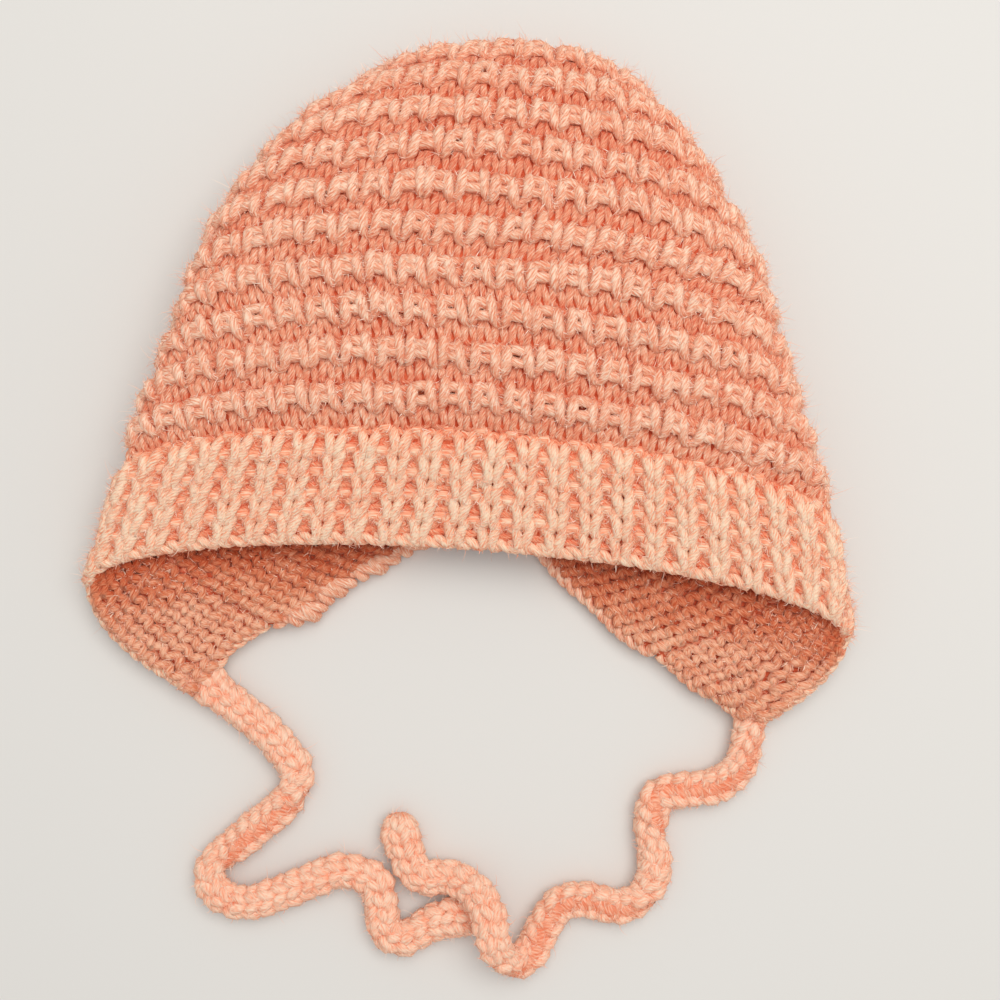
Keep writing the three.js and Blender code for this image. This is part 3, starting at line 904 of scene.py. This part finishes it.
chance = np.random.default_rng(5)
leg_lines = []
leg_lifts = []
leg_angles = []
bar_parts = []
bar_roots = []
crown_inner_rows = []
valley_parts = []
ridges = int(math.ceil((CROWN_CENTRE - RIDGE_START) / RIDGE_PITCH))
for ridge in range(ridges):
    start = RIDGE_START + ridge * RIDGE_PITCH
    middle = min(start + RIDGE_PITCH * 0.6, CROWN_CENTRE - 1)
    closed = start + RIDGE_PITCH / 2 >= NECK_CLOSE
    ends = (0, 1) if closed else (0.004, 0.996)
    round_length = ring_length(middle)
    pairs = int(max(4, round(round_length / PAIR_WIDTH)))
    fade = float(np.clip((CROWN_CENTRE - middle) / 30, 0.25, 1))
    # How gathered the ridge is; it also deepens the painted shade towards the crown's centre.
    gathered = float(np.clip((start - 80) / 40, 0, 1))
    shift = 0.5 * (ridge % 2)
    wander = chance.uniform(0, 2 * np.pi, 3)

    for pair in range(pairs):
        centre = (pair + 0.5 + shift) / pairs
        if not closed and not 0.006 < centre < 0.994:
            continue
        jolt = chance.normal(size=5)
        squeeze = min(1.0, round_length / pairs / PAIR_WIDTH)
        lean = 0.35 * chance.normal() * (LEGS[:, 1] - 0.3)
        across = LEGS[:, 0] * squeeze * (1 + 0.14 * jolt[0]) + 0.3 * jolt[1] + lean
        along = start + LEGS[:, 1] * RIDGE_PITCH * (1 + 0.03 * jolt[2]) + 0.45 * jolt[3]
        along = along + 0.35 * chance.normal() * np.sign(LEGS[:, 0])
        along = np.minimum(along + ridge_shift(centre, wander), CROWN_CENTRE - 1)
        share = centre + across / ring_length(along)
        share = share % 1 if closed else share
        height = LEGS[:, 2] * fade + 0.2 * jolt[4]
        angle = ring_angle(along, share)
        leg_lines.append(on_fabric(along, angle, height))
        leg_lifts.append(on_fabric(along, angle, height + 1) - leg_lines[-1])
        leg_angles.append(angle)

    for part, high in PURL_BARS:
        share = np.linspace(*ends, 8 * pairs + 1)
        phase = share * pairs - shift
        uneven = chance.normal(size=(2, pairs + 2))
        cell = np.clip(np.floor(share * pairs).astype(int), 0, pairs)
        lift, slide = blended(uneven, cell, (share * pairs) % 1)
        if closed:
            lift[-1] = lift[0]
            slide[-1] = slide[0]
        sag = 0.3 * np.cos(2 * np.pi * phase) * (1 if part > 0.7 else -1)
        wale = start + part * RIDGE_PITCH + 0.35 * slide + sag + ridge_shift(share, wander)
        wale = np.minimum(wale, CROWN_CENTRE - 0.8)
        height = (high + 0.75 * np.cos(2 * np.pi * phase)) * fade + 0.1 * lift
        angle = ring_angle(wale, share)
        line = on_fabric(wale, angle, height)
        lifts = on_fabric(wale, angle, height + 1) - line
        # Painted shade: low bars take the deeper colour, deeper still where gathered.
        proud = np.clip(0.1 - 0.1 * gathered + 0.28 * height + painted_rim_highlight(lifts), 0, 1)
        bar = single_strand(line, BAR_RADIUS, proud)
        bar_parts.append(bar)
        bar_roots.append(facing(bar, lifts, np.abs(angle) < SEEN_ABOVE_DEG, LOW_SIDES))

    share = np.linspace(*ends, 8 * 2 * pairs + 1)
    stitch = share * pairs * 2
    within = stitch % 1
    uneven = chance.normal(size=(3, 2 * pairs + 2))
    uneven[:, 2 * pairs] = uneven[:, 0]
    along, lift, aside = blended(uneven, np.floor(stitch).astype(int), within)
    rise = 0.5 * (1 - np.cos(2 * np.pi * within))
    wale = start + VALLEY_ROW["foot"] * RIDGE_PITCH + VALLEY_ROW["reach"] * rise + 0.25 * along
    wale = np.clip(wale + ridge_shift(share, wander), BAND_DEPTH + 0.3, CROWN_CENTRE - 0.8)
    height = VALLEY_ROW["height"] - VALLEY_ROW["depth"] * np.cos(4 * np.pi * within) + 0.1 * lift
    pinch = VALLEY_ROW["pinch"] * np.sin(4 * np.pi * within) + 0.05 * aside
    share = share + pinch / (2 * pairs)
    share = share % 1 if closed else np.clip(share, 0.002, 0.998)
    angle = ring_angle(wale, share)
    line = on_fabric(wale, angle, height * fade)
    lifts = on_fabric(wale, angle, height * fade + 1) - line
    # Painted shade: the valley rows take the deeper colour.
    proud = np.clip(0.24 - 0.16 * gathered + 0.3 * height + painted_rim_highlight(lifts), 0, 1)
    valley_parts.append(single_strand(line, VALLEY_RADIUS, proud))

    if start < INSIDE_SEEN_TO:
        for part in INNER_PARTS:
            row = inner_row(start + part * RIDGE_PITCH, pairs, ring_angle, chance)
            crown_inner_rows.append(row)

crown_yarn = yarn_finish(
    "crown_yarn", linear(253, 219, 194), linear(237, 163, 130), linear(215, 101, 70), bump=0.24
)
leg_heights = LEGS[:, 2]
leg_radii = LEG_RADIUS * MM * np.interp(leg_heights, [0.9, 2.5], [0.78, 1.08])
leg_radii[[0, -1]] *= 0.7
leg_lifts = np.array(leg_lifts)
# Painted shade: the low ends of the legs take the deeper colour.
leg_proud = np.clip(0.05 + 0.3 * leg_heights, 0, 1)
leg_proud = np.clip(leg_proud[None] + painted_rim_highlight(leg_lifts), 0, 1)
legs = yarn_mesh(np.array(leg_lines), leg_radii[None], leg_proud)
leg_roots = facing(legs, leg_lifts, np.abs(np.array(leg_angles)) < SEEN_ABOVE_DEG)
crown_nap = stray_fibres(
    together([leg_roots, *bar_roots]), CROWN_NAP, 64, longest=2.6, width=0.25, bends=2, lift=0.5,
    from_proud=0.3,
)
crown_hairs = stray_fibres(leg_roots, CROWN_HAIRS, 62, longest=5)
crown_rim_hairs = stray_fibres(at_rim(leg_roots), CROWN_RIM_HAIRS, 68, longest=6)
inner_strands, inner_roots = zip(*crown_inner_rows)
inner_nap = stray_fibres(
    together(inner_roots), INNER_NAP, 66, longest=2.4, width=0.28, bends=2, lift=0.4
)

left_side = np.linspace(BAND_DEPTH + 1, NECK_CLOSE, 70)
right_side = left_side[-2::-1]
neck_line = on_fabric(
    np.concatenate([left_side, right_side]),
    np.concatenate([-neck_left(left_side), neck_right(right_side)]),
    0.0,
)
curl_turn = np.radians(np.linspace(-75, 255, 12))
curls = []
for start in np.arange(RIDGE_START, NECK_CLOSE - RIDGE_PITCH / 2, RIDGE_PITCH):
    for part, big, lean in CURLS:
        wale = start + part * RIDGE_PITCH + lean * np.sin(curl_turn)
        past_edge = (0.7 + 2.1 * big * np.cos(curl_turn - np.pi / 2 + 0.4)) / ring_length(start)
        share = np.clip(-past_edge, -0.02, 0.05)
        angle = ring_angle(wale, np.maximum(share, 0)) + 360 * np.minimum(share, 0)
        curls.append(on_fabric(wale, angle, 2.6 * big * np.cos(curl_turn)))
curl_mesh = yarn_mesh(np.array(curls), np.full((1, len(curl_turn)), CURL_RADIUS * MM), 0.62)
neck_twist = twisted_edge(neck_line, wrap=0.9, pitch=8.0, radius=1.3, proud=0.7)
ground_wales = [BAND_DEPTH + 0.6, *np.arange(36, CROWN_CENTRE - 1, 2.4), CROWN_CENTRE - 0.2]
crown_pieces = [
    knitted_piece("crown_ridge_legs", legs, crown_yarn),
    knitted_piece("crown_purl_bars", joined(bar_parts), crown_yarn),
    knitted_piece("crown_inner_rows", joined(inner_strands), shaded_inner_yarn),
    knitted_piece("crown_neck_edge", joined([neck_twist, curl_mesh]), crown_yarn),
    knitted_piece("crown_valley_rows", joined(valley_parts), crown_yarn),
    knitted_piece("crown_nap", crown_nap, loose_hair),
    knitted_piece("crown_fuzz", joined([crown_hairs, crown_rim_hairs]), loose_hair),
    knitted_piece("crown_inner_fuzz", inner_nap, shaded_inner_hair),
    knitted_sheet("crown_ground", ground_wales, ring_angle, shaded_ground_yarn, 1.8, closed=True),
]
for piece in crown_pieces:
    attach(piece, "root")
    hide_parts("crown")

# The bonnet lies on a plain pale table, in soft light from a window beyond its crown and to the
# right, with a weak fill from all round.
table_finish = bpy.data.materials.new("plain_table")
table_finish.use_nodes = True
table_shader = table_finish.node_tree.nodes["Principled BSDF"]
table_shader.inputs["Base Color"].default_value = linear(222, 220, 216)
table_shader.inputs["Roughness"].default_value = 0.7
bpy.ops.mesh.primitive_plane_add(size=4, location=(0, 0, 0))
table = bpy.context.active_object
table.name = "table_top"
table.data.materials.append(table_finish)

window_data = bpy.data.lights.new("window", "AREA")
window_data.shape = "RECTANGLE"
window_data.size = 1.1
window_data.size_y = 0.9
window_data.energy = 9.0
window_data.color = (1.0, 0.98, 0.95)
window = bpy.data.objects.new("window", window_data)
window.location = (0.22, 0.32, 1.08)
aim = np.array([0.0, -0.02, 0.0]) - np.array(window.location)
window.rotation_euler = (
    math.atan2(math.hypot(aim[0], aim[1]), -aim[2]),
    0,
    math.atan2(aim[1], aim[0]) - math.pi / 2,
)
bpy.context.scene.collection.objects.link(window)

room = bpy.data.worlds.new("room")
room.use_nodes = True
room.node_tree.nodes["Background"].inputs["Color"].default_value = (1.0, 0.99, 0.98, 1)
room.node_tree.nodes["Background"].inputs["Strength"].default_value = 0.57
bpy.context.scene.world = room
